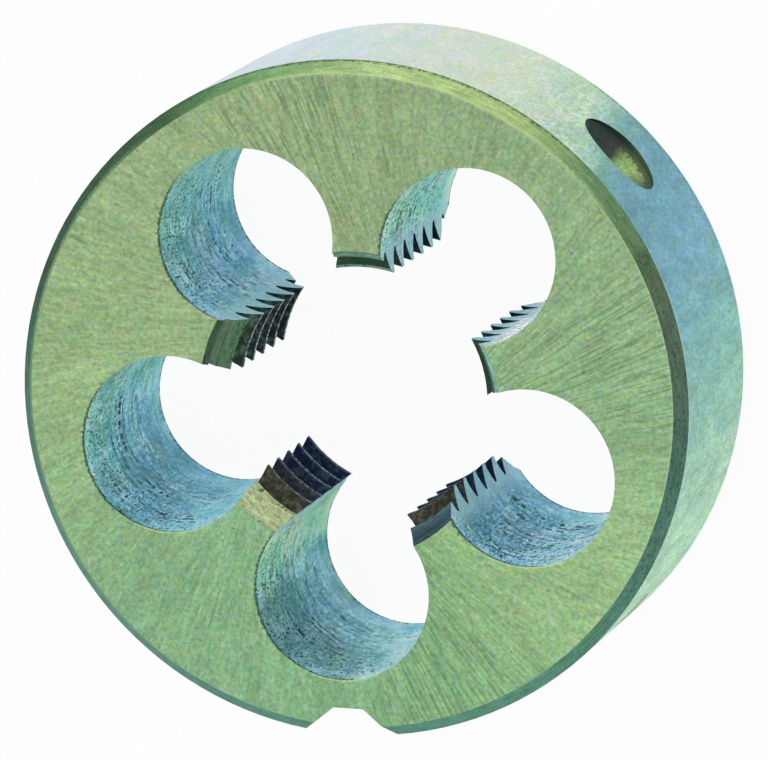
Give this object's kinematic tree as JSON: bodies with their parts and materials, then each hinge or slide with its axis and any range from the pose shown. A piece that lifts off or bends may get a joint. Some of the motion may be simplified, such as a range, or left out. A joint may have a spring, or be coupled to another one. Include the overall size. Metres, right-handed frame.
{
  "type": "round threading die",
  "caption": "Round steel threading die: a thick disc with a threaded centre broken by chip holes, a rim notch and drilled screw seats.",
  "frame": {"origin": "centre of the back face, on the thread's axis", "axes": "+Z along the thread's axis, out of the front face; -Y through the rim notch"},
  "size_m": [0.045, 0.0448, 0.018],
  "materials": {
    "ground_steel": "ground"
  },
  "bodies": {
    "root": {"round_die": "ground_steel"}
  },
  "joints": []
}
